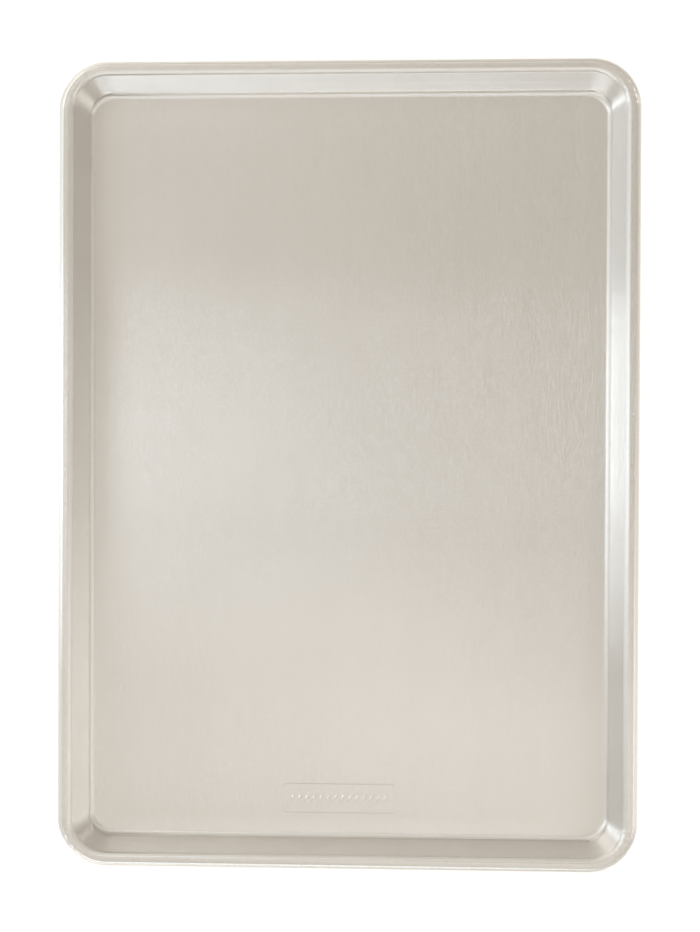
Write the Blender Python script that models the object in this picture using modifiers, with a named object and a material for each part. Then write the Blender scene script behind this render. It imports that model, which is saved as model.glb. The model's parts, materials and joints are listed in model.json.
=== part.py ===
"""Half-size sheet pan for baking: a drawn aluminium tray whose rim is rolled round a steel wire.

Two pieces, as on the real pan:
  pan_shell  one sheet of aluminium: flat floor, leaning walls, and the rim rolled into a bead
  rim_wire   one length of galvanised steel wire, bent to a loop and trapped inside the bead

Metres, +Z up. The origin is the middle of the footprint, on the surface that the pan stands on.
The long side runs along Y and the short side along X.
"""

from math import acos, copysign, cos, pi, radians, sin, tan

import bmesh
import bpy

MM = 0.001

# The tray
RIM_LENGTH = 455.0 * MM
RIM_WIDTH = 326.5 * MM
HEIGHT = 27.5 * MM
SHEET_THICKNESS = 1.0 * MM
WALL_LEAN = radians(16.5)

# Plan radius of each corner along the line where the walls, drawn on down, would meet the floor
FOOT_CORNER_RADIUS = 12.4 * MM

# The rounding between floor and wall. The flat floor's corners are rounder than the walls' foot,
# so the rounding is wider there.
BLEND_RADIUS = 3.0 * MM
FLOOR_CORNER_RADIUS = 14.0 * MM

# The wire and the bead rolled round it. Between wall and bead the sheet runs flat for a short way.
WIRE_DIAMETER = 4.0 * MM
WIRE_CLEARANCE = 0.3 * MM
WIRE_BUTT_GAP = 1.5 * MM
RIM_FLAT = 2.0 * MM
LIP_GAP = 0.4 * MM

# How finely the curves are divided
CORNER_STEPS = 9
BLEND_STEPS = 5
SHOULDER_STEPS = 5
BEAD_STEPS = 22
WIRE_BEVEL_RESOLUTION = 4
SHARP_ANGLE = radians(40.0)

ALUMINIUM = ((0.62, 0.57, 0.51, 1.0), 0.36, 1.0)
GALVANISED_STEEL = ((0.50, 0.52, 0.54, 1.0), 0.45, 1.0)


def clear_scene():
    for old in list(bpy.data.objects):
        bpy.data.objects.remove(old, do_unlink=True)


def metal(name, finish):
    colour, roughness, metallic = finish
    material = bpy.data.materials.new(name)
    material.use_nodes = True
    shader = material.node_tree.nodes["Principled BSDF"]
    shader.inputs["Base Color"].default_value = colour
    shader.inputs["Roughness"].default_value = roughness
    shader.inputs["Metallic"].default_value = metallic
    return material


def bead_radius():
    """Outside radius of the rolled rim: half the wire, its play, and the sheet round it."""
    return WIRE_DIAMETER / 2 + WIRE_CLEARANCE + SHEET_THICKNESS


def wall_top():
    """(inset, height) where the wall runs into the rim's inner shoulder without a kink."""
    bead = bead_radius()
    return RIM_FLAT + bead * (1 + cos(WALL_LEAN)), HEIGHT - bead + bead * sin(WALL_LEAN)


def foot_inset():
    """Inset of the line where the leaning wall, drawn on down, would meet the floor."""
    top_inset, top_height = wall_top()
    return top_inset + (top_height - SHEET_THICKNESS) * tan(WALL_LEAN)


def rim_corner_radius():
    """All of a corner's curves share one centre, so the lean makes the rim's corner larger."""
    return FOOT_CORNER_RADIUS + foot_inset()


def corner_signs(corner):
    """Signs of X and Y in one corner. Corners count from +X +Y, anticlockwise."""
    middle = radians(90) * corner + radians(45)
    return copysign(1, cos(middle)), copysign(1, sin(middle))


def corner_turns():
    """(corner, plan direction) of every column round the rim, anticlockwise from +X."""
    for corner in range(4):
        for step in range(CORNER_STEPS + 1):
            yield corner, radians(90) * (corner + step / CORNER_STEPS)


def plan_point(corner, turn, inset, height, spread=0.0):
    """The point that lies inset from the rim's outermost line, seen from above.

    Spread makes the corner's radius larger and draws its centre in, so the sides stay put.
    """
    sign_x, sign_y = corner_signs(corner)
    radius = rim_corner_radius()
    reach = radius - inset + spread
    return (
        sign_x * (RIM_WIDTH / 2 - radius - spread) + reach * cos(turn),
        sign_y * (RIM_LENGTH / 2 - radius - spread) + reach * sin(turn),
        height,
    )


def lip_rise():
    """How far the curl climbs past its innermost point: to the gap below the shoulder's underside."""
    bead = bead_radius()
    reach = bead - SHEET_THICKNESS - LIP_GAP
    return acos((bead**2 + RIM_FLAT**2 - reach**2) / (2 * bead * RIM_FLAT))


def rim_arc(centre_inset, start, end, steps):
    """(inset, height, spread) along an arc as round as the bead and level with the wire.

    Angles count from the rim's outward side, up over its top.
    """
    bead = bead_radius()
    for step in range(steps + 1):
        angle = start + (end - start) * step / steps
        yield centre_inset - bead * cos(angle), HEIGHT - bead + bead * sin(angle), 0.0


def section():
    """(inset, height, spread) along the sheet's upper face, from the floor's edge to the lip."""
    wall_slope = pi / 2 - WALL_LEAN
    floor_inset = foot_inset() + BLEND_RADIUS * tan(wall_slope / 2)
    floor_spread = FLOOR_CORNER_RADIUS - (rim_corner_radius() - floor_inset)
    points = []
    for step in range(BLEND_STEPS + 1):
        climbed = step / BLEND_STEPS
        angle = wall_slope * climbed
        inset = floor_inset - BLEND_RADIUS * sin(angle)
        height = SHEET_THICKNESS + BLEND_RADIUS * (1 - cos(angle))
        points.append((inset, height, floor_spread * (1 - climbed) ** 2))

    bead = bead_radius()
    points += rim_arc(bead + RIM_FLAT, pi - WALL_LEAN, pi / 2, SHOULDER_STEPS)
    points += rim_arc(bead, pi / 2, -pi - lip_rise(), BEAD_STEPS)
    return points


def make_pan_shell(material):
    """The upper face is lofted round the rim column by column, then given its thickness."""
    surface = bmesh.new()
    profile = section()
    columns = [
        [surface.verts.new(plan_point(corner, turn, *point)) for point in profile]
        for corner, turn in corner_turns()
    ]
    for near, far in zip(columns, columns[1:] + columns[:1]):
        for row in range(len(near) - 1):
            surface.faces.new((near[row], near[row + 1], far[row + 1], far[row]))
    surface.faces.new([column[0] for column in columns])

    mesh = bpy.data.meshes.new("pan_shell")
    surface.to_mesh(mesh)
    surface.free()
    mesh.shade_smooth()
    mesh.set_sharp_from_angle(angle=SHARP_ANGLE)
    mesh.materials.append(material)

    shell = bpy.data.objects.new("pan_shell", mesh)
    thickness = shell.modifiers.new("sheet", "SOLIDIFY")
    thickness.thickness = SHEET_THICKNESS
    thickness.offset = -1.0
    thickness.use_even_offset = True
    return shell


def make_rim_wire(material):
    """One open loop of wire. Its ends meet, but for a small gap, in the middle of the -Y side."""
    inset = bead_radius()
    height = HEIGHT - inset
    end_y = -RIM_LENGTH / 2 + inset
    turns = list(corner_turns())
    from_last_corner = turns[-(CORNER_STEPS + 1) :] + turns[: -(CORNER_STEPS + 1)]
    route = [(WIRE_BUTT_GAP / 2, end_y, height)]
    route += [
        plan_point(corner, turn, inset, height) for corner, turn in from_last_corner
    ]
    route.append((-WIRE_BUTT_GAP / 2, end_y, height))

    curve = bpy.data.curves.new("rim_wire", "CURVE")
    curve.dimensions = "3D"
    curve.twist_mode = "Z_UP"
    curve.bevel_depth = WIRE_DIAMETER / 2
    curve.bevel_resolution = WIRE_BEVEL_RESOLUTION
    curve.use_fill_caps = True
    spline = curve.splines.new("POLY")
    spline.points.add(len(route) - 1)
    for point, place in zip(spline.points, route):
        point.co = (*place, 1.0)
    curve.materials.append(material)
    return bpy.data.objects.new("rim_wire", curve)


def main():
    clear_scene()
    collection = bpy.data.collections.new("sheet_pan")
    bpy.context.scene.collection.children.link(collection)
    stand = bpy.data.objects.new("sheet_pan_origin", None)
    collection.objects.link(stand)
    pieces = (
        make_pan_shell(metal("satin_aluminium", ALUMINIUM)),
        make_rim_wire(metal("galvanised_steel", GALVANISED_STEEL)),
    )
    for piece in pieces:
        piece.parent = stand
        collection.objects.link(piece)


main()
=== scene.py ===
# %% [markdown]
# # A half-size sheet pan in bare aluminium
#
# The pan is one sheet of aluminium, pressed into a shallow tray, with its edge rolled over a steel
# wire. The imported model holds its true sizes. This lesson makes the fine surface over it: first
# the pressed sheet, then the small stamped panel on its floor, the finishes of the two metals, and
# last the studio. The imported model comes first, because every later size is read from it.

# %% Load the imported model
import json
from math import acos, cos, degrees, pi, radians, sin, tan

import bpy
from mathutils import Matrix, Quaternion, Vector


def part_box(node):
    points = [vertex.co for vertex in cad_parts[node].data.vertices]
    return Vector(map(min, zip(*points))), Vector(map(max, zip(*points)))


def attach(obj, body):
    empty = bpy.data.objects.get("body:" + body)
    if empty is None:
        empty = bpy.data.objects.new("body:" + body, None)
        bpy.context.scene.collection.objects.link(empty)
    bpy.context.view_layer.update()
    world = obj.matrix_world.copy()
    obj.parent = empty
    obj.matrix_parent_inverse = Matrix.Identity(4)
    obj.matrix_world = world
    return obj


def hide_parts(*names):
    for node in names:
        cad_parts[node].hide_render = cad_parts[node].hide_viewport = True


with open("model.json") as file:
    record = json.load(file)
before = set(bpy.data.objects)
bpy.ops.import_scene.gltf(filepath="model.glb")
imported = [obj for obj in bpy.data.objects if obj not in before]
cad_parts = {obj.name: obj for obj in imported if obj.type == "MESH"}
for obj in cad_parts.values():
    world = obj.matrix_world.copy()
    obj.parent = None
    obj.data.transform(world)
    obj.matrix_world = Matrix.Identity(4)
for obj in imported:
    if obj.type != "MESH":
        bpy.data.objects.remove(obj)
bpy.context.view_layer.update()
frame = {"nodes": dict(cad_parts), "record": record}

print("packed nodes:", sorted(frame["nodes"]))

# %% [markdown]
# ## Sizes
#
# The outside of the rim, the wire and the sheet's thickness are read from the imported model, so the
# fine surface can't drift away from it. The other sizes are the press tool's own: how far the
# walls lean, and how the floor is rounded into them. The flat floor's corners are rounder than the
# foot of the walls, so the rounding is widest there, where the sheet has to flow two ways at once.
# At its top the sheet turns over a round shoulder, runs flat for two millimetres, and only then
# curls round the wire: seen from above, the rim is flat between two rounded edges.

# %% Sizes of the pan
MM = 0.001

shell_low, shell_high = (Vector(corner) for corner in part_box("pan_shell"))
wire_low, wire_high = (Vector(corner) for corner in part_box("rim_wire"))
mounts = {mount["name"]: mount for mount in frame["record"]["mounts"]}

HALF_WIDTH = (shell_high.x - shell_low.x) / 2
HALF_LENGTH = (shell_high.y - shell_low.y) / 2
HEIGHT = shell_high.z
SHEET = mounts["baking_floor"]["pos_m"][2] - mounts["underside"]["pos_m"][2]
WIRE_RADIUS = (wire_high.z - wire_low.z) / 2

WIRE_PLAY = 0.3 * MM
LIP_GAP = 0.4 * MM
RIM_FLAT = 2.0 * MM
WALL_LEAN = radians(16.5)
FOOT_CORNER_RADIUS = 12.4 * MM
FLOOR_CORNER_RADIUS = 14.0 * MM
BLEND_RADIUS = 3.0 * MM

BEAD_RADIUS = WIRE_RADIUS + WIRE_PLAY + SHEET
WALL_TOP_INSET = RIM_FLAT + BEAD_RADIUS * (1 + cos(WALL_LEAN))
WALL_TOP_HEIGHT = HEIGHT - BEAD_RADIUS * (1 - sin(WALL_LEAN))
FOOT_INSET = WALL_TOP_INSET + (WALL_TOP_HEIGHT - SHEET) * tan(WALL_LEAN)
RIM_CORNER_RADIUS = FOOT_CORNER_RADIUS + FOOT_INSET
LIP_REACH = BEAD_RADIUS - SHEET - LIP_GAP
LIP_RISE = acos((BEAD_RADIUS**2 + RIM_FLAT**2 - LIP_REACH**2) / (2 * BEAD_RADIUS * RIM_FLAT))
CURL_TURN = radians(270) + LIP_RISE

outside = (2 * HALF_WIDTH / MM, 2 * HALF_LENGTH / MM, HEIGHT / MM)
print("outside of the rim, mm:", [round(side, 1) for side in outside])
print(f"sheet {SHEET / MM:.2f} mm, bead {2 * BEAD_RADIUS / MM:.1f} mm")
print(f"wire {2 * WIRE_RADIUS / MM:.1f} mm")
print(f"rim corners {RIM_CORNER_RADIUS / MM:.1f} mm")
print(f"edge curled through {degrees(CURL_TURN):.0f} degrees")

# %% [markdown]
# ## One helper for every node tree
#
# Geometry and material trees are both nodes and links, so one small function serves them all. It
# adds a node, sets its properties, and feeds its inputs from plain values or from other nodes.


# %% A function that adds a node
def add_node(tree, kind, settings=None, feeds=None):
    """Adds one node. A feed is a plain value, a socket, or a node that gives its first output."""
    made = tree.nodes.new(kind)
    for name, value in (settings or {}).items():
        setattr(made, name, value)
    for name, feed in (feeds or {}).items():
        if isinstance(feed, bpy.types.Node):
            feed = feed.outputs[0]
        if isinstance(feed, bpy.types.NodeSocket):
            tree.links.new(feed, made.inputs[name])
        else:
            made.inputs[name].default_value = feed
    return made


MATH = "ShaderNodeMath"
VECTOR_MATH = "ShaderNodeVectorMath"
MAP_RANGE = "ShaderNodeMapRange"
COMBINE = "ShaderNodeCombineXYZ"
SEPARATE = "ShaderNodeSeparateXYZ"
NOISE = "ShaderNodeTexNoise"
STORE = "GeometryNodeStoreNamedAttribute"

# A ramp that eases in and out
SMOOTH = {"interpolation_type": "SMOOTHSTEP"}

# The middle value of a noise, which runs from 0 to 1, and of a mix of two colours
MIDDLE = 0.5

# %% [markdown]
# ## The pressed sheet
#
# On the real pan a flat blank is pushed into a die, and then its edge is rolled outwards and under.
# It could be made by extruding and bevelling a box, but then every size would be a click. Here the
# shape follows a rule instead: a flat grid is bent into the tray. Each column of the grid goes
# round the rim, and each row climbs the section: floor, rounding, wall, rim. A Geometry Nodes tree
# works out both, so the sizes stay live inputs.

# %% How finely the sheet is divided
CORNER_STEPS = 44
SIDE_STEPS = 18
FLOOR_ROWS = 22
BLEND_ROWS = 10
WALL_ROWS = 40
SHOULDER_ROWS = 14
FLAT_ROWS = 4
CURL_ROWS = 44

QUARTER_STEPS = CORNER_STEPS + SIDE_STEPS
COLUMNS = 4 * QUARTER_STEPS
WALL_START = FLOOR_ROWS + BLEND_ROWS
RIM_START = WALL_START + WALL_ROWS
FLAT_START = RIM_START + SHOULDER_ROWS
CURL_START = FLAT_START + FLAT_ROWS
ROWS = CURL_START + CURL_ROWS
print(f"grid of {COLUMNS} columns and {ROWS} rows")

# %% The tree and its named inputs
tray_sizes = {
    "Half width": HALF_WIDTH,
    "Half length": HALF_LENGTH,
    "Corner radius": RIM_CORNER_RADIUS,
    "Foot inset": FOOT_INSET,
    "Floor corner radius": FLOOR_CORNER_RADIUS,
    "Blend radius": BLEND_RADIUS,
    "Sheet": SHEET,
    "Wall top height": WALL_TOP_HEIGHT,
    "Wall lean": WALL_LEAN,
    "Bead radius": BEAD_RADIUS,
    "Rim flat": RIM_FLAT,
    "Curl turn": CURL_TURN,
    "Floor crown": 0.25 * MM,
    "Floor wave": 0.12 * MM,
    "Wall wave": 0.08 * MM,
    "Draw line": 0.04 * MM,
    "Crimp": 0.14 * MM,
}
tray = bpy.data.node_groups.new("pressed_tray", "GeometryNodeTree")
tray.interface.new_socket("Mesh", in_out="OUTPUT", socket_type="NodeSocketGeometry")
for name in tray_sizes:
    tray.interface.new_socket(name, in_out="INPUT", socket_type="NodeSocketFloat")
tray.interface.new_socket("Finish", in_out="INPUT", socket_type="NodeSocketMaterial")
size = add_node(tray, "NodeGroupInput").outputs

# %% The flat grid, and the column and row that each of its points belongs to
grid_sizes = {"Size X": COLUMNS, "Size Y": ROWS, "Vertices X": COLUMNS + 1, "Vertices Y": ROWS + 1}
grid = add_node(tray, "GeometryNodeMeshGrid", {}, grid_sizes)
position = add_node(tray, "GeometryNodeInputPosition")
from_corner = add_node(
    tray, VECTOR_MATH, {"operation": "ADD"}, {0: position, 1: (COLUMNS / 2, ROWS / 2, 0)}
)
number = add_node(tray, SEPARATE, {}, {0: from_corner}).outputs
column, row = number["X"], number["Y"]

# %% Round the rim: each quarter turns through its corner, then runs along the next side
ROUNDING_SLACK = 0.001
safe_column = add_node(tray, MATH, {"operation": "ADD"}, {0: column, 1: ROUNDING_SLACK})
quarters = add_node(tray, MATH, {"operation": "DIVIDE"}, {0: safe_column, 1: QUARTER_STEPS})
quarter = add_node(tray, MATH, {"operation": "FLOOR"}, {0: quarters})
step = add_node(
    tray, MATH, {"operation": "MULTIPLY_ADD"}, {0: quarter, 1: -QUARTER_STEPS, 2: column}
)
turned = add_node(tray, MAP_RANGE, {}, {"Value": step, "From Max": CORNER_STEPS})
along_side = add_node(
    tray, MAP_RANGE, {}, {"Value": step, "From Min": CORNER_STEPS, "From Max": QUARTER_STEPS}
)
turns = add_node(tray, MATH, {"operation": "ADD"}, {0: quarter, 1: turned})
turn = add_node(tray, MATH, {"operation": "MULTIPLY"}, {0: turns, 1: radians(90)})
turn_cosine = add_node(tray, MATH, {"operation": "COSINE"}, {0: turn})
turn_sine = add_node(tray, MATH, {"operation": "SINE"}, {0: turn})
outward = add_node(tray, COMBINE, {}, {"X": turn_cosine, "Y": turn_sine})

# %% How far each column has walked round the rim, which the wall's ironing lines will need
arc = add_node(tray, MATH, {"operation": "MULTIPLY"}, {0: size["Corner radius"], 1: radians(90)})
inner_halves = [
    add_node(tray, MATH, {"operation": "SUBTRACT"}, {0: size[half], 1: size["Corner radius"]})
    for half in ("Half width", "Half length")
]
both_halves = add_node(tray, MATH, {"operation": "ADD"}, {0: inner_halves[0], 1: inner_halves[1]})
extra_half = add_node(tray, MATH, {"operation": "SUBTRACT"}, {0: inner_halves[0], 1: inner_halves[1]})
mean_quarter = add_node(tray, MATH, {"operation": "ADD"}, {0: arc, 1: both_halves})
odd_quarter = add_node(tray, MATH, {"operation": "FLOORED_MODULO"}, {0: quarter, 1: 2})
odd_extra = add_node(tray, MATH, {"operation": "MULTIPLY"}, {0: odd_quarter, 1: extra_half})
quarter_start = add_node(
    tray, MATH, {"operation": "MULTIPLY_ADD"}, {0: quarter, 1: mean_quarter, 2: odd_extra}
)
side_swing = add_node(tray, MATH, {"operation": "MULTIPLY_ADD"}, {0: odd_quarter, 1: -2, 2: 1})
side_length = add_node(
    tray, MATH, {"operation": "MULTIPLY_ADD"}, {0: side_swing, 1: extra_half, 2: both_halves}
)
walked = add_node(tray, MATH, {"operation": "MULTIPLY_ADD"}, {0: arc, 1: turned, 2: quarter_start})
walked = add_node(
    tray, MATH, {"operation": "MULTIPLY_ADD"}, {0: side_length, 1: along_side, 2: walked}
)

# %% Up the section: how far a row has come along the floor, the rounding, the wall and the rim
stretch_ends = (0, FLOOR_ROWS, WALL_START, RIM_START, FLAT_START, CURL_START, ROWS)
on_floor, on_blend, on_wall, on_shoulder, on_flat, on_curl = (
    add_node(tray, MAP_RANGE, {}, {"Value": row, "From Min": start, "From Max": end})
    for start, end in zip(stretch_ends, stretch_ends[1:])
)
on_rim = add_node(tray, MAP_RANGE, {}, {"Value": row, "From Min": RIM_START, "From Max": ROWS})

# %% The rounding: an arc from the flat floor up to the wall's lean
wall_slope = add_node(tray, MATH, {"operation": "SUBTRACT"}, {0: pi / 2, 1: size["Wall lean"]})
half_slope = add_node(tray, MATH, {"operation": "MULTIPLY"}, {0: wall_slope, 1: 0.5})
half_slope_tangent = add_node(tray, MATH, {"operation": "TANGENT"}, {0: half_slope})
floor_edge = add_node(
    tray,
    MATH,
    {"operation": "MULTIPLY_ADD"},
    {0: size["Blend radius"], 1: half_slope_tangent, 2: size["Foot inset"]},
)
blend_angle = add_node(tray, MATH, {"operation": "MULTIPLY"}, {0: on_blend, 1: wall_slope})
blend_sine = add_node(tray, MATH, {"operation": "SINE"}, {0: blend_angle})
blend_cosine = add_node(tray, MATH, {"operation": "COSINE"}, {0: blend_angle})
blend_drop = add_node(tray, MATH, {"operation": "SUBTRACT"}, {0: 1, 1: blend_cosine})
blend_run = add_node(tray, MATH, {"operation": "MULTIPLY"}, {0: size["Blend radius"], 1: blend_sine})
blend_rise = add_node(tray, MATH, {"operation": "MULTIPLY"}, {0: size["Blend radius"], 1: blend_drop})
blend_length = add_node(
    tray, MATH, {"operation": "MULTIPLY"}, {0: size["Blend radius"], 1: blend_angle}
)

# %% The spread: how much rounder than the rim's own curves the floor's corners are
edge_reach = add_node(tray, MATH, {"operation": "SUBTRACT"}, {0: size["Corner radius"], 1: floor_edge})
full_spread = add_node(
    tray, MATH, {"operation": "SUBTRACT"}, {0: size["Floor corner radius"], 1: edge_reach}
)
off_blend = add_node(tray, MATH, {"operation": "SUBTRACT"}, {0: 1, 1: on_blend})
spread_share = add_node(tray, MATH, {"operation": "POWER"}, {0: off_blend, 1: 2})
spread = add_node(tray, MATH, {"operation": "MULTIPLY"}, {0: full_spread, 1: spread_share})

# %% The centre that each corner turns about, sliding to the next one along the side
spread_radius = add_node(tray, MATH, {"operation": "ADD"}, {0: size["Corner radius"], 1: spread})
centre_x = add_node(tray, MATH, {"operation": "SUBTRACT"}, {0: size["Half width"], 1: spread_radius})
centre_y = add_node(tray, MATH, {"operation": "SUBTRACT"}, {0: size["Half length"], 1: spread_radius})
first_centre = add_node(tray, COMBINE, {}, {"X": centre_x, "Y": centre_y})
centres = []
for middle in (radians(45), radians(135)):
    angle = add_node(
        tray, MATH, {"operation": "MULTIPLY_ADD"}, {0: quarter, 1: radians(90), 2: middle}
    )
    cosine = add_node(tray, MATH, {"operation": "COSINE"}, {0: angle})
    sine = add_node(tray, MATH, {"operation": "SINE"}, {0: angle})
    direction = add_node(tray, COMBINE, {}, {"X": cosine, "Y": sine})
    signs = add_node(tray, VECTOR_MATH, {"operation": "SIGN"}, {0: direction})
    corner_centre = add_node(tray, VECTOR_MATH, {"operation": "MULTIPLY"}, {0: signs, 1: first_centre})
    centres.append(corner_centre)
between = add_node(tray, VECTOR_MATH, {"operation": "SUBTRACT"}, {0: centres[1], 1: centres[0]})
slid = add_node(tray, VECTOR_MATH, {"operation": "SCALE"}, {0: between, "Scale": along_side})
centre = add_node(tray, VECTOR_MATH, {"operation": "ADD"}, {0: centres[0], 1: slid})

# %% The wall: a straight lean from the top of the rounding to the rim's shoulder
lean_sine = add_node(tray, MATH, {"operation": "SINE"}, {0: size["Wall lean"]})
lean_cosine = add_node(tray, MATH, {"operation": "COSINE"}, {0: size["Wall lean"]})
lean_tangent = add_node(tray, MATH, {"operation": "TANGENT"}, {0: size["Wall lean"]})
whole_rise = add_node(
    tray, MATH, {"operation": "SUBTRACT"}, {0: size["Wall top height"], 1: size["Sheet"]}
)
full_blend_drop = add_node(tray, MATH, {"operation": "SUBTRACT"}, {0: 1, 1: lean_sine})
full_blend_rise = add_node(
    tray, MATH, {"operation": "MULTIPLY"}, {0: size["Blend radius"], 1: full_blend_drop}
)
wall_height = add_node(tray, MATH, {"operation": "SUBTRACT"}, {0: whole_rise, 1: full_blend_rise})
wall_rise = add_node(tray, MATH, {"operation": "MULTIPLY"}, {0: wall_height, 1: on_wall})
wall_run = add_node(tray, MATH, {"operation": "MULTIPLY"}, {0: wall_rise, 1: lean_tangent})
wall_length = add_node(tray, MATH, {"operation": "DIVIDE"}, {0: wall_rise, 1: lean_cosine})

# %% The rim: over a round shoulder, along a short flat, and curled round the wire
rim_start = add_node(tray, MATH, {"operation": "SUBTRACT"}, {0: pi, 1: size["Wall lean"]})
over_shoulder = add_node(tray, MATH, {"operation": "MULTIPLY"}, {0: on_shoulder, 1: wall_slope})
curled = add_node(tray, MATH, {"operation": "MULTIPLY"}, {0: on_curl, 1: size["Curl turn"]})
rolled = add_node(tray, MATH, {"operation": "ADD"}, {0: over_shoulder, 1: curled})
rim_angle = add_node(tray, MATH, {"operation": "SUBTRACT"}, {0: rim_start, 1: rolled})
rim_cosine = add_node(tray, MATH, {"operation": "COSINE"}, {0: rim_angle})
rim_sine = add_node(tray, MATH, {"operation": "SINE"}, {0: rim_angle})
rim_out = add_node(tray, MATH, {"operation": "ADD"}, {0: rim_cosine, 1: lean_cosine})
rim_up = add_node(tray, MATH, {"operation": "SUBTRACT"}, {0: rim_sine, 1: lean_sine})
flat_run = add_node(tray, MATH, {"operation": "MULTIPLY"}, {0: on_flat, 1: size["Rim flat"]})
rim_run = add_node(
    tray, MATH, {"operation": "MULTIPLY_ADD"}, {0: rim_out, 1: size["Bead radius"], 2: flat_run}
)
rim_rise = add_node(tray, MATH, {"operation": "MULTIPLY"}, {0: rim_up, 1: size["Bead radius"]})
rim_length = add_node(
    tray, MATH, {"operation": "MULTIPLY_ADD"}, {0: rolled, 1: size["Bead radius"], 2: flat_run}
)

# %% Where each point ends up: the stretches of the section, added up
run = add_node(tray, MATH, {"operation": "ADD"}, {0: blend_run, 1: wall_run})
run = add_node(tray, MATH, {"operation": "ADD"}, {0: run, 1: rim_run})
rise = add_node(tray, MATH, {"operation": "ADD"}, {0: blend_rise, 1: wall_rise})
rise = add_node(tray, MATH, {"operation": "ADD"}, {0: rise, 1: rim_rise})
height = add_node(tray, MATH, {"operation": "ADD"}, {0: rise, 1: size["Sheet"]})
spread_edge = add_node(tray, MATH, {"operation": "ADD"}, {0: edge_reach, 1: spread})
reach = add_node(tray, MATH, {"operation": "ADD"}, {0: spread_edge, 1: run})

# %% [markdown]
# ### What a real press leaves
#
# A pressed sheet is never quite true. The floor is crowned by a quarter of a millimetre, so that
# the pan doesn't rock, and both floor and walls are wavy by a tenth or so. That is far too little to
# see as shape, but shiny metal shows it as highlights that wander. Halfway up the wall, the edge of
# the die leaves a faint line. In the corners the rolled edge has too much metal for its turn, and
# the surplus shows as small crimps across the bead.

# %% Crown of the floor, and slow waves of the floor and the walls
WAVE_LENGTH = 130 * MM
plan_direction = add_node(tray, VECTOR_MATH, {"operation": "SCALE"}, {0: outward, "Scale": reach})
true_plan = add_node(tray, VECTOR_MATH, {"operation": "ADD"}, {0: centre, 1: plan_direction})
true_plan = add_node(tray, VECTOR_MATH, {"operation": "SCALE"}, {0: true_plan, "Scale": on_floor})
wave_noise = add_node(
    tray, NOISE, {}, {"Vector": true_plan, "Scale": 1 / WAVE_LENGTH, "Detail": 0.0}
)
off_rim = add_node(tray, MATH, {"operation": "SUBTRACT"}, {0: 1, 1: on_rim})
wall_share = add_node(tray, MATH, {"operation": "MULTIPLY"}, {0: on_wall, 1: off_rim})
wall_wave = add_node(tray, MATH, {"operation": "MULTIPLY"}, {0: wave_noise, 1: size["Wall wave"]})
wall_wave = add_node(tray, MATH, {"operation": "MULTIPLY"}, {0: wall_share, 1: wall_wave})

on_floor_squared = add_node(tray, MATH, {"operation": "MULTIPLY"}, {0: on_floor, 1: on_floor})
crown_share = add_node(tray, MATH, {"operation": "SUBTRACT"}, {0: 1, 1: on_floor_squared})
crown = add_node(
    tray,
    MATH,
    {"operation": "MULTIPLY_ADD"},
    {0: wave_noise, 1: size["Floor wave"], 2: size["Floor crown"]},
)
crown = add_node(tray, MATH, {"operation": "MULTIPLY"}, {0: crown_share, 1: crown})
crowned_height = add_node(tray, MATH, {"operation": "ADD"}, {0: height, 1: crown})

# %% The draw line: a shallow groove round the middle of the wall, two millimetres wide
DRAW_LINE_HALF = 1.0 * MM
mid_wall = add_node(tray, MATH, {"operation": "MULTIPLY"}, {0: wall_height, 1: 0.5})
off_line = add_node(tray, MATH, {"operation": "SUBTRACT"}, {0: wall_rise, 1: mid_wall})
off_line = add_node(tray, MATH, {"operation": "ABSOLUTE"}, {0: off_line})
groove = add_node(
    tray, MAP_RANGE, SMOOTH, {"Value": off_line, "From Max": DRAW_LINE_HALF, "To Min": 1, "To Max": 0}
)
groove = add_node(tray, MATH, {"operation": "MULTIPLY"}, {0: groove, 1: size["Draw line"]})

# %% The crimps: a few small creases across the bead, only in the corners, and only inwards
# They are full where the shares of the turn before and after a point multiply to FULL_IN_CORNER
# or more (0.25 is the most, halfway round), and from FULL_ON_RIM of the way over the rim onwards.
CRIMPS_PER_CORNER = 11
CREASE_SHARE = 0.16
FULL_IN_CORNER = 0.2
FULL_ON_RIM = 0.12
off_turned = add_node(tray, MATH, {"operation": "SUBTRACT"}, {0: 1, 1: turned})
in_corner = add_node(tray, MATH, {"operation": "MULTIPLY"}, {0: turned, 1: off_turned})
in_corner = add_node(tray, MAP_RANGE, SMOOTH, {"Value": in_corner, "From Max": FULL_IN_CORNER})
crimp_place = add_node(tray, MATH, {"operation": "MULTIPLY"}, {0: turned, 1: CRIMPS_PER_CORNER})
crimp_row = add_node(tray, COMBINE, {}, {"X": crimp_place, "Y": quarter, "Z": on_rim})
crimp_noise = add_node(tray, NOISE, {}, {"Vector": crimp_row, "Scale": 1.0, "Detail": 0.0})
from_crease = add_node(tray, MATH, {"operation": "SUBTRACT"}, {0: crimp_noise, 1: MIDDLE})
from_crease = add_node(tray, MATH, {"operation": "ABSOLUTE"}, {0: from_crease})
crease = add_node(
    tray, MAP_RANGE, SMOOTH, {"Value": from_crease, "From Max": CREASE_SHARE, "To Min": 1, "To Max": 0}
)
rim_share = add_node(tray, MAP_RANGE, SMOOTH, {"Value": on_rim, "From Max": FULL_ON_RIM})
crimp = add_node(tray, MATH, {"operation": "MULTIPLY"}, {0: crease, 1: in_corner})
crimp = add_node(tray, MATH, {"operation": "MULTIPLY"}, {0: crimp, 1: rim_share})
crimp = add_node(tray, MATH, {"operation": "MULTIPLY"}, {0: crimp, 1: size["Crimp"]})
crimp_run = add_node(tray, MATH, {"operation": "MULTIPLY"}, {0: crimp, 1: rim_cosine})
crimp_rise = add_node(tray, MATH, {"operation": "MULTIPLY"}, {0: crimp, 1: rim_sine})

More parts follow.
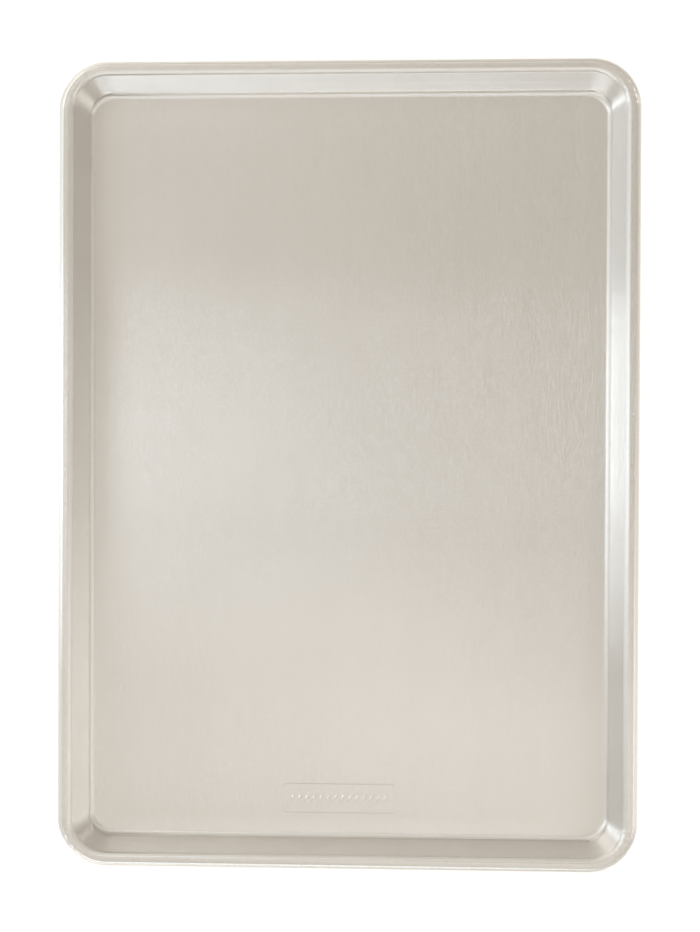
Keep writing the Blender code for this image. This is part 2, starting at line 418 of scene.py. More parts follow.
# %% The true reach and height of each point, with what the press left taken in
worn_reach = add_node(tray, MATH, {"operation": "ADD"}, {0: reach, 1: groove})
for taken_in in (wall_wave, crimp_run):
    worn_reach = add_node(tray, MATH, {"operation": "SUBTRACT"}, {0: worn_reach, 1: taken_in})
worn_height = add_node(tray, MATH, {"operation": "SUBTRACT"}, {0: crowned_height, 1: crimp_rise})

# %% Each point's place, and its place on the flat blank that the sheet was cut as
arm = add_node(tray, VECTOR_MATH, {"operation": "SCALE"}, {0: outward, "Scale": worn_reach})
plan = add_node(tray, VECTOR_MATH, {"operation": "ADD"}, {0: centre, 1: arm})
plan = add_node(tray, VECTOR_MATH, {"operation": "SCALE"}, {0: plan, "Scale": on_floor})
lift = add_node(tray, COMBINE, {}, {"Z": worn_height})
place = add_node(tray, VECTOR_MATH, {"operation": "ADD"}, {0: plan, 1: lift})

climbed = add_node(tray, MATH, {"operation": "ADD"}, {0: blend_length, 1: wall_length})
climbed = add_node(tray, MATH, {"operation": "ADD"}, {0: climbed, 1: rim_length})
flat_reach = add_node(tray, MATH, {"operation": "ADD"}, {0: spread_edge, 1: climbed})
flat_arm = add_node(tray, VECTOR_MATH, {"operation": "SCALE"}, {0: outward, "Scale": flat_reach})
flat_place = add_node(tray, VECTOR_MATH, {"operation": "ADD"}, {0: centre, 1: flat_arm})
flat_place = add_node(tray, VECTOR_MATH, {"operation": "SCALE"}, {0: flat_place, "Scale": on_floor})

# %% Bend the grid, close its seam, and keep what the finish will read
SEAM_REACH = 0.01 * MM
rim_place = add_node(tray, COMBINE, {}, {"X": walked, "Y": climbed})
kept = grid
for name, field in {"blank": flat_place, "rim": rim_place}.items():
    stored = {"Geometry": kept, "Name": name, "Value": field}
    kept = add_node(tray, STORE, {"data_type": "FLOAT2", "domain": "CORNER"}, stored)
for name, field in {"wall": on_blend, "rolled": on_rim}.items():
    stored = {"Geometry": kept, "Name": name, "Value": field}
    kept = add_node(tray, STORE, {"data_type": "FLOAT", "domain": "POINT"}, stored)
bent = add_node(tray, "GeometryNodeSetPosition", {}, {"Geometry": kept, "Position": place})
closed = add_node(
    tray, "GeometryNodeMergeByDistance", {}, {"Geometry": bent, "Distance": SEAM_REACH}
)
outside_up = add_node(tray, "GeometryNodeFlipFaces", {}, {"Mesh": closed})
realized = add_node(tray, "GeometryNodeRealizeInstances", {}, {"Geometry": outside_up})
finished = add_node(
    tray, "GeometryNodeSetMaterial", {}, {"Geometry": realized, "Material": size["Finish"]}
)
add_node(tray, "NodeGroupOutput", {}, {"Mesh": finished})
print("pressed tray tree:", len(tray.nodes), "nodes")


# %% [markdown]
# ## From live trees to plain meshes
#
# A finished piece is a plain mesh at the origin, with nothing live on it. So a tree is put on an
# empty object as a modifier, its sizes are set through the sockets' identifiers, and the evaluated
# result is copied into a mesh of its own. A second modifier can finish it on the way: here Solidify
# gives the sheet its one millimetre, away from the upper face.


# %% A function that turns a tree into a plain mesh
SHARP_ANGLE = radians(40)


def piece_from_tree(name, tree, values, finish, thickness=0.0):
    """Runs a tree with its sizes, thickens the sheet if asked, and returns a plain mesh object."""
    carrier = bpy.data.objects.new(name + "_carrier", bpy.data.meshes.new(name + "_carrier"))
    bpy.context.scene.collection.objects.link(carrier)
    shaping = carrier.modifiers.new("shaping", "NODES")
    shaping.node_group = tree
    for item in tree.interface.items_tree:
        if item.in_out == "INPUT":
            shaping[item.identifier] = finish if item.name == "Finish" else values[item.name]
    if thickness:
        sheet = carrier.modifiers.new("sheet", "SOLIDIFY")
        sheet.thickness = thickness
        sheet.offset = -1.0
        sheet.use_even_offset = True
    evaluated = carrier.evaluated_get(bpy.context.evaluated_depsgraph_get())
    mesh = bpy.data.meshes.new_from_object(evaluated)
    mesh.name = name
    mesh.shade_smooth()
    mesh.set_sharp_from_angle(angle=SHARP_ANGLE)
    bpy.data.objects.remove(carrier)
    piece = bpy.data.objects.new(name, mesh)
    bpy.context.scene.collection.objects.link(piece)
    triangles = sum(len(face.vertices) - 2 for face in mesh.polygons)
    print(f"{name}: {triangles} triangles")
    return piece


# %% [markdown]
# ## Colours
#
# Colours are written as they look on a screen, in hex, and one function turns them to the linear
# values that shaders add up. Its numbers are those of the sRGB standard.


# %% A function that turns a screen colour to linear
def linear(hex_colour):
    """Linear red, green, blue and alpha of a colour such as "#d8d3cc"."""
    channels = []
    for start in (1, 3, 5):
        value = int(hex_colour[start : start + 2], 16) / 255
        channels.append(value / 12.92 if value <= 0.04045 else ((value + 0.055) / 1.055) ** 2.4)
    return (*channels, 1.0)


# %% [markdown]
# ## Mill-finish aluminium
#
# The sheet is aluminium alloy 3003, left as it came from the rolling mill, with no polish and no
# coating. The rolls leave very fine lines along the sheet. They make the metal satin rather than
# mirror-like, and they smear a reflection across the lines far more than along them. So the shader
# is a metal with strong anisotropy, whose tangent follows the flat blank's own width: the grain
# then runs over floor, walls and bead as it does on one pressed sheet. An image could hold the
# grain, but noise stretched along the blank keeps its real size at any distance.
#
# All patterns read the two maps that the tray tree stored: the place on the blank, and the walk
# round the rim against the climb up the section. Both are in metres, so a size in millimetres is
# used as it is.

# %% Patterns of the sheet: noise stretched to real sizes
sheet_metal = bpy.data.materials.new("mill_finish_aluminium")
sheet_metal.use_nodes = True
metal_tree = sheet_metal.node_tree
metal_shader = metal_tree.nodes["Principled BSDF"]
on_blank = add_node(metal_tree, "ShaderNodeUVMap", {"uv_map": "blank"})
round_rim = add_node(metal_tree, "ShaderNodeUVMap", {"uv_map": "rim"})

# Each pattern's size in millimetres, along the first and the second axis of its map. Real rolling
# and ironing lines are about 0.1 mm apart, too fine for this picture, so they are drawn coarser.
metal_patterns = {
    "rolling lines": (on_blank, 0.9, 70.0),
    "rolling bands": (on_blank, 16.0, 420.0),
    "grain mottle": (on_blank, 2.2, 3.0),
    "handling clouds": (on_blank, 55.0, 80.0),
    "ironing lines": (round_rim, 160.0, 2.8),
}
pattern = {}
for name, (metal_map, first, second) in metal_patterns.items():
    stretch = (1 / (first * MM), 1 / (second * MM), 0)
    stretched = add_node(metal_tree, VECTOR_MATH, {"operation": "MULTIPLY"}, {0: metal_map, 1: stretch})
    noise = add_node(metal_tree, NOISE, {}, {"Vector": stretched, "Scale": 1.0, "Detail": 1.0})
    pattern[name] = add_node(metal_tree, MATH, {"operation": "SUBTRACT"}, {0: noise, 1: MIDDLE})
print("patterns of the sheet:", ", ".join(pattern))

# %% [markdown]
# ### Where the sheet was worked
#
# The tools leave their marks too. The walls are ironed between punch and die, which draws faint
# lines round them, and the roll that closes the rim burnishes it a little. In the tight bends, at
# the foot of the walls and along the rim, the metal is stretched, and stretched metal is duller: a
# bend shows a soft line of light, not a hard glint. The tray's tree stored where the walls and the
# rim are. It could store the bends too, but the surface tells them by itself, on the panel as well:
# a bend faces neither straight up, as the floor does, nor out to the side, as the walls do.

# %% Ironing lines on the walls alone, and burnish on the rolled rim
BURNISH_RAMP = 0.15
wall_part = add_node(metal_tree, "ShaderNodeAttribute", {"attribute_name": "wall"}).outputs["Fac"]
rim_part = add_node(metal_tree, "ShaderNodeAttribute", {"attribute_name": "rolled"}).outputs["Fac"]
burnished = add_node(metal_tree, MAP_RANGE, SMOOTH, {"Value": rim_part, "From Max": BURNISH_RAMP})
ironed = add_node(
    metal_tree, MATH, {"operation": "MULTIPLY"}, {0: pattern["ironing lines"], 1: wall_part}
)

# %% The tight bends, told by how far up the surface faces: 0 is to the side, and 1 is straight up
WALL_ENDS = 0.30
BEND_STARTS = 0.45
BEND_ENDS = 0.93
FLOOR_STARTS = 0.995
sheet_normal = add_node(metal_tree, "ShaderNodeNewGeometry").outputs["Normal"]
upward = add_node(metal_tree, SEPARATE, {}, {0: sheet_normal}).outputs["Z"]
off_wall = add_node(
    metal_tree, MAP_RANGE, SMOOTH, {"Value": upward, "From Min": WALL_ENDS, "From Max": BEND_STARTS}
)
off_floor = add_node(
    metal_tree,
    MAP_RANGE,
    SMOOTH,
    {"Value": upward, "From Min": BEND_ENDS, "From Max": FLOOR_STARTS, "To Min": 1, "To Max": 0},
)
tight_bend = add_node(metal_tree, MATH, {"operation": "MULTIPLY"}, {0: off_wall, 1: off_floor})


# %% A function that adds weighted patterns to a plain value
def weighted_sum(tree, base, shares):
    """The base value plus each pattern times its share."""
    total = base
    for field, share in shares:
        total = add_node(tree, MATH, {"operation": "MULTIPLY_ADD"}, {0: field, 1: share, 2: total})
    return total


# %% Colour: a near neutral silver, a little greyer where the rolls or hands have dulled it
paleness = weighted_sum(
    metal_tree,
    MIDDLE,
    [
        (pattern["rolling lines"], 0.30),
        (pattern["rolling bands"], 0.25),
        (pattern["grain mottle"], 0.15),
        (pattern["handling clouds"], 0.40),
        (ironed, 0.35),
    ],
)
colour = add_node(
    metal_tree,
    "ShaderNodeMix",
    {"data_type": "RGBA"},
    {"Factor": paleness, 6: linear("#dedbd7"), 7: linear("#e8e6e3")},
)
metal_tree.links.new(colour.outputs["Result"], metal_shader.inputs["Base Color"])

# %% Roughness: satin on the floor, a little smoother on the burnished rim, duller in tight bends
SHEET_ROUGHNESS = 0.18
BEND_DULLING = 0.15
roughness = weighted_sum(
    metal_tree,
    SHEET_ROUGHNESS,
    [
        (pattern["rolling bands"], 0.01),
        (pattern["handling clouds"], 0.01),
        (ironed, 0.01),
        (burnished, -0.01),
        (tight_bend, BEND_DULLING),
    ],
)
metal_tree.links.new(roughness.outputs[0], metal_shader.inputs["Roughness"])
metal_shader.inputs["Metallic"].default_value = 1.0
metal_shader.inputs["Anisotropic"].default_value = 1.0

# %% Relief: rolling lines and ironing lines, a few thousandths of a millimetre deep
relief_depths = [(pattern["rolling lines"], 0.003 * MM), (ironed, 0.0015 * MM)]
relief = weighted_sum(metal_tree, 0.0, relief_depths)
bump = add_node(metal_tree, "ShaderNodeBump", {}, {"Strength": 1.0, "Distance": 1.0, "Height": relief})
metal_tree.links.new(bump.outputs[0], metal_shader.inputs["Normal"])
grain = add_node(metal_tree, "ShaderNodeTangent", {"direction_type": "UV_MAP", "uv_map": "blank"})
metal_tree.links.new(grain.outputs[0], metal_shader.inputs["Tangent"])

# %% [markdown]
# ### The fan of light
#
# The finest lines aren't seen one by one. What is seen is what they do together: each lamp is
# thrown into a thin fan of light, square to the lines, and the fan's edges stay sharp. That is
# why a bright zone on the floor can start at a crisp level line, though it fades out sideways.
# Anisotropy alone can't do this, because its lobe blurs both ways. So a second, sharper reflection
# lies over the first: the clear skin that bare aluminium carries, which follows the finest lines.

# %% The skin follows the finest lines, whose flanks are steep
# An oxide skin has an index of 1.77. This one is given more, because it stands for the part of the
# bare metal's own reflection that the finest lines fan out.
FINE_LINE = 0.08 * MM
FINE_LINE_LENGTH = 5.0 * MM
FLANK_STEEPNESS = 1.2
SKIN_INDEX = 2.5
SKIN_ROUGHNESS = 0.10
fine_stretch = (1 / FINE_LINE, 1 / FINE_LINE_LENGTH, 0)
fine_place = add_node(metal_tree, VECTOR_MATH, {"operation": "MULTIPLY"}, {0: on_blank, 1: fine_stretch})
fine_lines = add_node(metal_tree, NOISE, {}, {"Vector": fine_place, "Scale": 1.0, "Detail": 0.0})
fine_depth = FINE_LINE * FLANK_STEEPNESS
fine_bump = add_node(
    metal_tree,
    "ShaderNodeBump",
    {},
    {"Strength": 1.0, "Distance": fine_depth, "Height": fine_lines, "Normal": bump},
)
metal_tree.links.new(fine_bump.outputs[0], metal_shader.inputs["Coat Normal"])
metal_shader.inputs["Coat Weight"].default_value = 1.0
metal_shader.inputs["Coat Roughness"].default_value = SKIN_ROUGHNESS
metal_shader.inputs["Coat IOR"].default_value = SKIN_INDEX
print("mill-finish aluminium:", len(metal_tree.nodes), "nodes")

# %% Press the sheet
pan = piece_from_tree("pan_skin", tray, tray_sizes, sheet_metal, SHEET)

# %% [markdown]
# ## The stamped panel
#
# Near one end, the floor carries a small panel that a second tool stamps into the sheet. It is kept
# plain here: a thin raised frame round a row of short slanting ribs. The ribs stand two tenths of a
# millimetre proud and the frame far less, and their sides run out smoothly into the floor, as
# pressed metal does.
#
# They could be painted on as bump, but then they would vanish at the edge of a reflection. As
# geometry they are one rule: a round form whose upper half is a soft swell and whose lower half is a
# root inside the sheet. Swept along a rounded rectangle it is the frame, and set out in a row it
# is the ribs. A ray cast down on the pressed floor gives each point its footing.

# %% Sizes of the panel
panel_sizes = {
    "Floor": pan,
    "Centre": (-4.3 * MM, -189.9 * MM, 0),
    "Width": 64.0 * MM,
    "Height": 16.5 * MM,
    "Corner radius": 2.5 * MM,
    "Line width": 1.4 * MM,
    "Line swell": 0.04 * MM,
    "Rib swell": 0.22 * MM,
    "Root": 0.40 * MM,
    "Ribs": 14,
    "Rib pitch": 4.1 * MM,
    "Rib width": 2.0 * MM,
    "Rib length": 6.4 * MM,
    "Rib slant": radians(30),
}
panel_sockets = {"Floor": "NodeSocketObject", "Centre": "NodeSocketVector", "Ribs": "NodeSocketInt"}
panel_tree = bpy.data.node_groups.new("stamped_panel", "GeometryNodeTree")
panel_tree.interface.new_socket("Mesh", in_out="OUTPUT", socket_type="NodeSocketGeometry")
for name in panel_sizes:
    socket_type = panel_sockets.get(name, "NodeSocketFloat")
    panel_tree.interface.new_socket(name, in_out="INPUT", socket_type=socket_type)
panel_tree.interface.new_socket("Finish", in_out="INPUT", socket_type="NodeSocketMaterial")
panel_size = add_node(panel_tree, "NodeGroupInput").outputs


# %% The rule that turns a round form into a swell with a root
SWELL_SOFTNESS = 4


def swell_height(tree, roundness, swell, root):
    """Height of a point on the round form: a soft swell above its middle, a steep root below."""
    above = add_node(tree, MATH, {"operation": "MAXIMUM"}, {0: roundness, 1: 0})
    below = add_node(tree, MATH, {"operation": "MINIMUM"}, {0: roundness, 1: 0})
    softened = add_node(tree, MATH, {"operation": "POWER"}, {0: above, 1: SWELL_SOFTNESS})
    raised = add_node(tree, MATH, {"operation": "MULTIPLY"}, {0: softened, 1: swell})
    return add_node(tree, MATH, {"operation": "MULTIPLY_ADD"}, {0: below, 1: root, 2: raised})


# %% The frame: the swell swept along a rounded rectangle
PROFILE_STEPS = 20
FILLET_STEPS = 6
rectangle = add_node(
    panel_tree,
    "GeometryNodeCurvePrimitiveQuadrilateral",
    {},
    {"Width": panel_size["Width"], "Height": panel_size["Height"]},
)
route = add_node(
    panel_tree,
    "GeometryNodeFilletCurve",
    {"mode": "POLY"},
    {"Curve": rectangle, "Count": FILLET_STEPS, "Radius": panel_size["Corner radius"]},
)
route = add_node(panel_tree, "GeometryNodeSetCurveNormal", {"mode": "Z_UP"}, {"Curve": route})
circle = add_node(
    panel_tree, "GeometryNodeCurvePrimitiveCircle", {}, {"Resolution": PROFILE_STEPS, "Radius": 1.0}
)
circle_place = add_node(panel_tree, "GeometryNodeInputPosition")
circle_parts = add_node(panel_tree, SEPARATE, {}, {0: circle_place}).outputs
half_line = add_node(
    panel_tree, MATH, {"operation": "MULTIPLY"}, {0: panel_size["Line width"], 1: 0.5}
)
line_across = add_node(
    panel_tree, MATH, {"operation": "MULTIPLY"}, {0: circle_parts["X"], 1: half_line}
)
line_height = swell_height(
    panel_tree, circle_parts["Y"], panel_size["Line swell"], panel_size["Root"]
)
line_place = add_node(panel_tree, COMBINE, {}, {"X": line_across, "Y": line_height})
# A profile swept along this route hangs upside down, so it is turned by half a turn first
line_place = add_node(panel_tree, VECTOR_MATH, {"operation": "SCALE"}, {0: line_place, "Scale": -1})
profile = add_node(
    panel_tree,
    "GeometryNodeSetPosition",
    {},
    {"Geometry": circle.outputs["Curve"], "Position": line_place},
)
frame_line = add_node(
    panel_tree, "GeometryNodeCurveToMesh", {}, {"Curve": route, "Profile Curve": profile}
)

# %% The ribs: a ball flattened by the same rule, set out in a row
ball = add_node(
    panel_tree, "GeometryNodeMeshUVSphere", {}, {"Segments": 16, "Rings": 12, "Radius": 1.0}
)
ball_place = add_node(panel_tree, "GeometryNodeInputPosition")
ball_parts = add_node(panel_tree, SEPARATE, {}, {0: ball_place}).outputs
rib_sizes = {"X": "Rib width", "Y": "Rib length"}
rib_parts = {"Z": swell_height(panel_tree, ball_parts["Z"], panel_size["Rib swell"], panel_size["Root"])}
for axis, across in rib_sizes.items():
    half = add_node(panel_tree, MATH, {"operation": "MULTIPLY"}, {0: panel_size[across], 1: 0.5})
    rib_parts[axis] = add_node(
        panel_tree, MATH, {"operation": "MULTIPLY"}, {0: ball_parts[axis], 1: half}
    )
rib_place = add_node(panel_tree, COMBINE, {}, rib_parts)
rib = add_node(
    panel_tree,
    "GeometryNodeSetPosition",
    {},
    {"Geometry": ball.outputs["Mesh"], "Position": rib_place},
)
gaps = add_node(panel_tree, MATH, {"operation": "SUBTRACT"}, {0: panel_size["Ribs"], 1: 1})
half_row = add_node(panel_tree, MATH, {"operation": "MULTIPLY"}, {0: gaps, 1: -0.5})
first_rib_x = add_node(
    panel_tree, MATH, {"operation": "MULTIPLY"}, {0: half_row, 1: panel_size["Rib pitch"]}
)
first_rib = add_node(panel_tree, COMBINE, {}, {"X": first_rib_x})
rib_step = add_node(panel_tree, COMBINE, {}, {"X": panel_size["Rib pitch"]})
rib_row = add_node(
    panel_tree,
    "GeometryNodeMeshLine",
    {},
    {"Count": panel_size["Ribs"], "Start Location": first_rib, "Offset": rib_step},
)
slant = add_node(panel_tree, MATH, {"operation": "MULTIPLY"}, {0: panel_size["Rib slant"], 1: -1})
slant_turn = add_node(panel_tree, COMBINE, {}, {"Z": slant})
ribs = add_node(
    panel_tree,
    "GeometryNodeInstanceOnPoints",
    {},
    {"Points": rib_row, "Instance": rib, "Rotation": slant_turn},
)
ribs = add_node(panel_tree, "GeometryNodeRealizeInstances", {}, {"Geometry": ribs})

# %% Set both down on the pressed floor
RAY_HEIGHT = 20 * MM
stamped = add_node(panel_tree, "GeometryNodeJoinGeometry", {}, {"Geometry": ribs})
panel_tree.links.new(frame_line.outputs[0], stamped.inputs[0])
local_place = add_node(panel_tree, "GeometryNodeInputPosition")
over_floor = add_node(
    panel_tree, VECTOR_MATH, {"operation": "ADD"}, {0: local_place, 1: panel_size["Centre"]}
)
over_parts = add_node(panel_tree, SEPARATE, {}, {0: over_floor}).outputs
ray_start = add_node(
    panel_tree, COMBINE, {}, {"X": over_parts["X"], "Y": over_parts["Y"], "Z": RAY_HEIGHT}
)
floor_mesh = add_node(panel_tree, "GeometryNodeObjectInfo", {}, {"Object": panel_size["Floor"]})
footing = add_node(
    panel_tree,
    "GeometryNodeRaycast",
    {},
    {
        "Target Geometry": floor_mesh.outputs["Geometry"],
        "Source Position": ray_start,
        "Ray Direction": (0, 0, -1),
        "Ray Length": RAY_HEIGHT,
    },
)
local_lift = add_node(panel_tree, COMBINE, {}, {"Z": over_parts["Z"]})
panel_place = add_node(
    panel_tree,
    VECTOR_MATH,
    {"operation": "ADD"},
    {0: footing.outputs["Hit Position"], 1: local_lift},
)
seated = add_node(
    panel_tree, "GeometryNodeSetPosition", {}, {"Geometry": stamped, "Position": panel_place}
)

# %% Keep the place on the blank, so the rolling grain runs on over the panel
panel_blank = add_node(panel_tree, "GeometryNodeInputPosition")
panel_kept = add_node(
    panel_tree,
    STORE,
    {"data_type": "FLOAT2", "domain": "CORNER"},
    {"Geometry": seated, "Name": "blank", "Value": panel_blank},
)
panel_finished = add_node(
    panel_tree,
    "GeometryNodeSetMaterial",
    {},
    {"Geometry": panel_kept, "Material": panel_size["Finish"]},
)
add_node(panel_tree, "NodeGroupOutput", {}, {"Mesh": panel_finished})
stamped_panel = piece_from_tree("stamped_panel", panel_tree, panel_sizes, sheet_metal)
panel_heights = [vertex.co.z / MM for vertex in stamped_panel.data.vertices]
print(f"panel from {min(panel_heights):.2f} to {max(panel_heights):.2f} mm above the table")

# %% [markdown]
# ## Galvanised wire
#
# The rim is rolled over a steel wire, drawn round and hot-dipped in zinc. The zinc sets in flat
# crystals a few millimetres long, each a slightly different grey, with a dull surface between matt
# and metal. The wire hides inside the bead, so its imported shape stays, and only its finish is new.

# %% The wire's finish: crystals of zinc in patches of slightly different grey
wire_metal = bpy.data.materials.new("galvanised_steel_wire")
wire_metal.use_nodes = True
wire_tree = wire_metal.node_tree
wire_shader = wire_tree.nodes["Principled BSDF"]
CRYSTAL = 3.0 * MM
ZINC_GRAIN = 0.4 * MM
ZINC_RELIEF = 0.02 * MM
ZINC_ROUGHNESS = 0.36
on_wire = add_node(wire_tree, "ShaderNodeTexCoord").outputs["Object"]
crystals = add_node(wire_tree, "ShaderNodeTexVoronoi", {}, {"Vector": on_wire, "Scale": 1 / CRYSTAL})
crystal_tone = add_node(wire_tree, "ShaderNodeSeparateColor", {}, {"Color": crystals.outputs["Color"]})
zinc_grain = add_node(wire_tree, NOISE, {}, {"Vector": on_wire, "Scale": 1 / ZINC_GRAIN, "Detail": 3.0})
zinc = add_node(
    wire_tree,
    "ShaderNodeMix",
    {"data_type": "RGBA"},
    {"Factor": crystal_tone.outputs["Red"], 6: linear("#9b9fa2"), 7: linear("#bfc3c6")},
)
wire_tree.links.new(zinc.outputs["Result"], wire_shader.inputs["Base Color"])
zinc_roughness = weighted_sum(
    wire_tree, ZINC_ROUGHNESS, [(crystal_tone.outputs["Green"], 0.12), (zinc_grain, 0.08)]
)
wire_tree.links.new(zinc_roughness.outputs[0], wire_shader.inputs["Roughness"])
zinc_bump = add_node(
    wire_tree, "ShaderNodeBump", {}, {"Strength": 1.0, "Distance": ZINC_RELIEF, "Height": zinc_grain}
)
wire_tree.links.new(zinc_bump.outputs[0], wire_shader.inputs["Normal"])
wire_shader.inputs["Metallic"].default_value = 1.0

rim_wire = frame["nodes"]["rim_wire"]
rim_wire.data.materials.clear()
rim_wire.data.materials.append(wire_metal)
print("galvanised wire:", len(wire_tree.nodes), "nodes")

# %% [markdown]
# ## The camera
#
# The picture is taken from above, about 1.3 m up, with a long lens. The camera stands five
# centimetres to the right and leans by four degrees, so the pan's right side comes out a little
# longer than its left, and the right wall narrower. The picture is cut from a wider one: the two
# shifts bring the pan back to its middle. The camera could be set by eye, but it was worked out
# instead, so that the outlines of the rim and of the floor both fall where they should.

# %% Camera
camera_data = bpy.data.cameras.new("overhead_camera")
camera_data.lens = 90.19
camera_data.sensor_width = 36.0
camera_data.shift_x = 0.0670
camera_data.shift_y = 0.0637
camera = bpy.data.objects.new("overhead_camera", camera_data)
camera.location = (53.2 * MM, -13.6 * MM, 1334.8 * MM)
camera.rotation_euler = (radians(-0.864), radians(3.770), radians(0.230))
bpy.context.scene.collection.objects.link(camera)
bpy.context.scene.camera = camera

# %% [markdown]
# ## The studio
#
# The pan lies on white paper. A camera that is set for the metal shows such paper as plain white.
# The paper gets that from its own material, not from stronger lamps: for rays from the camera, and
# for reflections in the metal, it glows a little. The rest of its brightness comes from the lamps,
# so it still darkens in the pan's shadow.

# %% White paper under the pan
PAPER_HALF = 3.0
PAPER_GLOW = 0.50
paper_mesh = bpy.data.meshes.new("studio_floor")
paper_corners = [(x * PAPER_HALF, y * PAPER_HALF, 0) for x, y in ((-1, -1), (1, -1), (1, 1), (-1, 1))]
paper_mesh.from_pydata(paper_corners, [], [(0, 1, 2, 3)])
studio_floor = bpy.data.objects.new("studio_floor", paper_mesh)
bpy.context.scene.collection.objects.link(studio_floor)

paper = bpy.data.materials.new("white_paper")
paper.use_nodes = True
paper_tree = paper.node_tree
paper_shader = paper_tree.nodes["Principled BSDF"]
paper_shader.inputs["Base Color"].default_value = linear("#f6f6f5")
paper_shader.inputs["Roughness"].default_value = 0.9
paper_shader.inputs["Emission Color"].default_value = (1, 1, 1, 1)
light_path = add_node(paper_tree, "ShaderNodeLightPath").outputs
seen = light_path["Is Camera Ray"]
for other_ray in ("Is Glossy Ray", "Is Transmission Ray"):
    seen = add_node(paper_tree, MATH, {"operation": "MAXIMUM"}, {0: seen, 1: light_path[other_ray]})
glow = add_node(paper_tree, MATH, {"operation": "MULTIPLY"}, {0: seen, 1: PAPER_GLOW})
paper_tree.links.new(glow.outputs[0], paper_shader.inputs["Emission Strength"])
paper_mesh.materials.append(paper)

# %% The room: warm, dim and even
ROOM_STRENGTH = 0.58
world = bpy.data.worlds.new("studio")
world.use_nodes = True
room = world.node_tree.nodes["Background"]
room.inputs["Color"].default_value = linear("#fff5e6")
room.inputs["Strength"].default_value = ROOM_STRENGTH
bpy.context.scene.world = world


# %% [markdown]
# ## The lamps
#
# Bare metal has little colour of its own. What is seen on it is the studio: the floor mirrors what
# hangs above, each wall mirrors what stands across from it, and the fan of light brings each lamp
# down onto the floor once more. One or two lamps would leave most of the tray dark, and one even
# dome would make floor and walls equally bright. So large soft boxes stand all round, and dim white
# panels hang overhead. A soft box is a flat lamp: the larger it is, the softer its light.
#
# Strengths go in thirds of a stop, as on a camera: three steps down halve a lamp. So one value, the
# key lamp's, sets them all.


# %% A function that adds a soft box
def soft_box(name, place, target, width, length, turn, radiance, tint):
    """A one-sided lamp of even brightness that faces its target, turned about its own axis."""
    data = bpy.data.lights.new(name, "AREA")
    data.shape = "RECTANGLE"
    data.size = width
    data.size_y = length
    data.color = linear(tint)[:3]
    data.energy = radiance * pi * width * length
    lamp = bpy.data.objects.new(name, data)
    lamp.location = place
    facing = (Vector(target) - Vector(place)).to_track_quat("-Z", "Y")
    lamp.rotation_euler = (facing @ Quaternion((0, 0, 1), turn)).to_euler()
    bpy.context.scene.collection.objects.link(lamp)


# %% What the lamps share: their colours, their strength, and how far some are turned
KEY_BRIGHTNESS = 2.4
STEPS_PER_HALVING = 3
DAYLIGHT = "#e8f4ff"
NEUTRAL = "#ffffff"

# A lamp that stands square to the pan ends its fan of light at a crisp level line. One that is
# turned about its own axis ends it softly. The panels overhead are mirrored as they hang, so a
# turned one gives a slanting band.
SLIGHT = radians(-4)
SKEW = radians(-26)
SLANT = radians(-48)
DIAGONAL = radians(40)

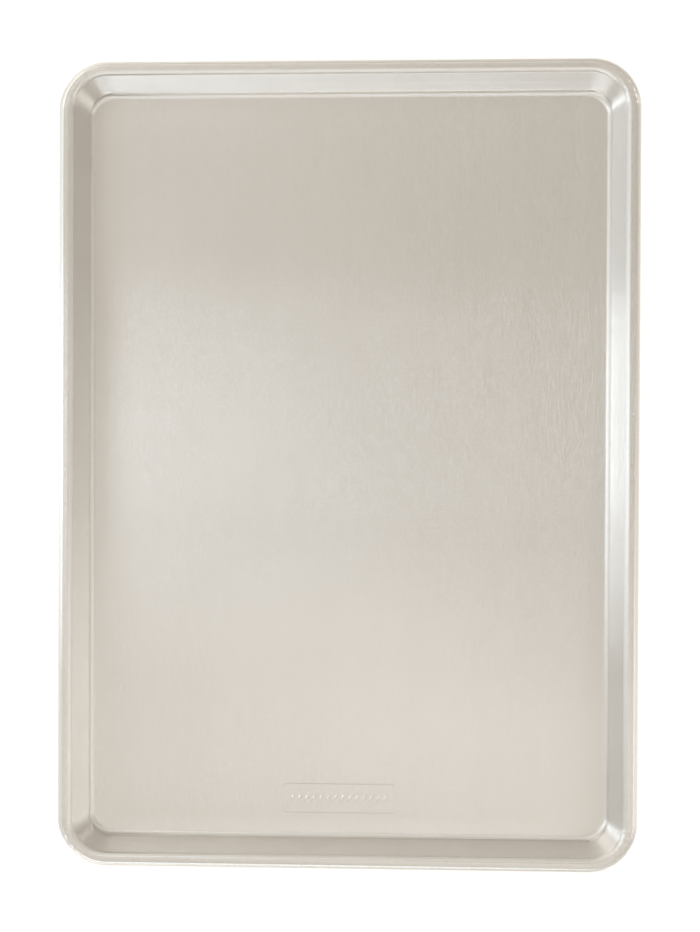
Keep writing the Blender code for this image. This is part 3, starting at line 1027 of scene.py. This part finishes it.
# %% The lamps: a bright key on the left, dimmer ones all round, and dim panels overhead
# Name: (place, target, width, length, turn, steps below the key, colour), all sizes in metres
lamps = {
    "key": ((-0.95, 0.085, 0.89), (0, 0.085, 0), 0.25, 0.42, 0, 0, DAYLIGHT),
    "key_foot": ((-0.95, -0.085, 0.89), (0, -0.085, 0), 0.09, 0.42, 0, 4, DAYLIGHT),
    "key_halo": ((-0.99, 0.07, 0.92), (0, 0.07, 0), 0.56, 0.80, 0, 4, DAYLIGHT),
    "left_front": ((-0.99, -0.44, 0.92), (0, -0.44, 0), 0.42, 0.80, 0, 7, DAYLIGHT),
    "left_back": ((-0.99, 0.49, 0.92), (0, 0.49, 0), 0.28, 0.80, 0, 4, DAYLIGHT),
    "right_wide": ((0.95, -0.24, 0.95), (0, -0.24, 0), 0.80, 0.60, DIAGONAL, 7, NEUTRAL),
    "right_core": ((0.92, -0.36, 0.92), (0, -0.36, 0), 0.60, 0.40, DIAGONAL, 5, NEUTRAL),
    "right_back": ((0.92, 0.56, 0.92), (0, 0.56, 0), 0.14, 0.80, 0, 2, NEUTRAL),
    "front_left": ((-0.55, -0.82, 1.26), (-0.16, 0, 0), 0.50, 0.38, 0, 1, DAYLIGHT),
    "front_low": ((0, -1.11, 1.00), (0, 0, 0), 0.50, 0.38, 0, 1, DAYLIGHT),
    "front_high": ((0, -0.82, 1.26), (0, 0, 0), 0.50, 0.38, 0, 5, DAYLIGHT),
    "back_left": ((-0.85, 0.85, 1.20), (0, 0, 0), 0.60, 0.80, 0, 3, NEUTRAL),
    "back_high": ((0, 0.82, 1.26), (0, 0, 0), 0.50, 0.38, 0, 9, NEUTRAL),
    "low_right": ((1.70, 0, 0.56), (0, 0, 0), 1.00, 0.60, 0, 9, NEUTRAL),
    "low_back": ((-0.85, 1.50, 0.56), (0, 0, 0), 1.00, 0.60, 0, 2, NEUTRAL),
    "low_left": ((-1.70, 0, 0.56), (0, 0, 0), 1.00, 0.60, 0, 7, DAYLIGHT),
    "low_front": ((-0.85, -1.50, 0.56), (0, 0, 0), 1.00, 0.60, 0, 1, NEUTRAL),
    "above_left": ((-0.65, 0.05, 2.20), (-0.65, 0.05, 0), 1.20, 1.30, SLIGHT, 13, NEUTRAL),
    "above_right": ((0.24, -0.52, 2.19), (0.24, -0.52, 0), 1.10, 0.44, SKEW, 10, NEUTRAL),
    "above_middle": ((-0.19, -0.14, 2.18), (-0.19, -0.14, 0), 0.80, 0.26, SLANT, 11, DAYLIGHT),
}
for name, (*box, steps, tint) in lamps.items():
    radiance = KEY_BRIGHTNESS * 2 ** (-steps / STEPS_PER_HALVING)
    soft_box(name, *box, radiance, tint)
print(len(lamps), "lamps")

# %% [markdown]
# ## The last settings
#
# The picture is shown without a film curve, so colours come out as they were written. Then each new
# piece is tied to the body that it rides on, and the imported pan shell, which the pressed sheet
# replaces, is hidden. The wire keeps its imported node. The last
# cell measures both models, because the fine surface has to stay inside the imported one's box.

# %% Colour as rendered
bpy.context.scene.view_settings.view_transform = "Standard"

# %% Bodies
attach(pan, "root")
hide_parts("pan_shell")
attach(stamped_panel, "root")
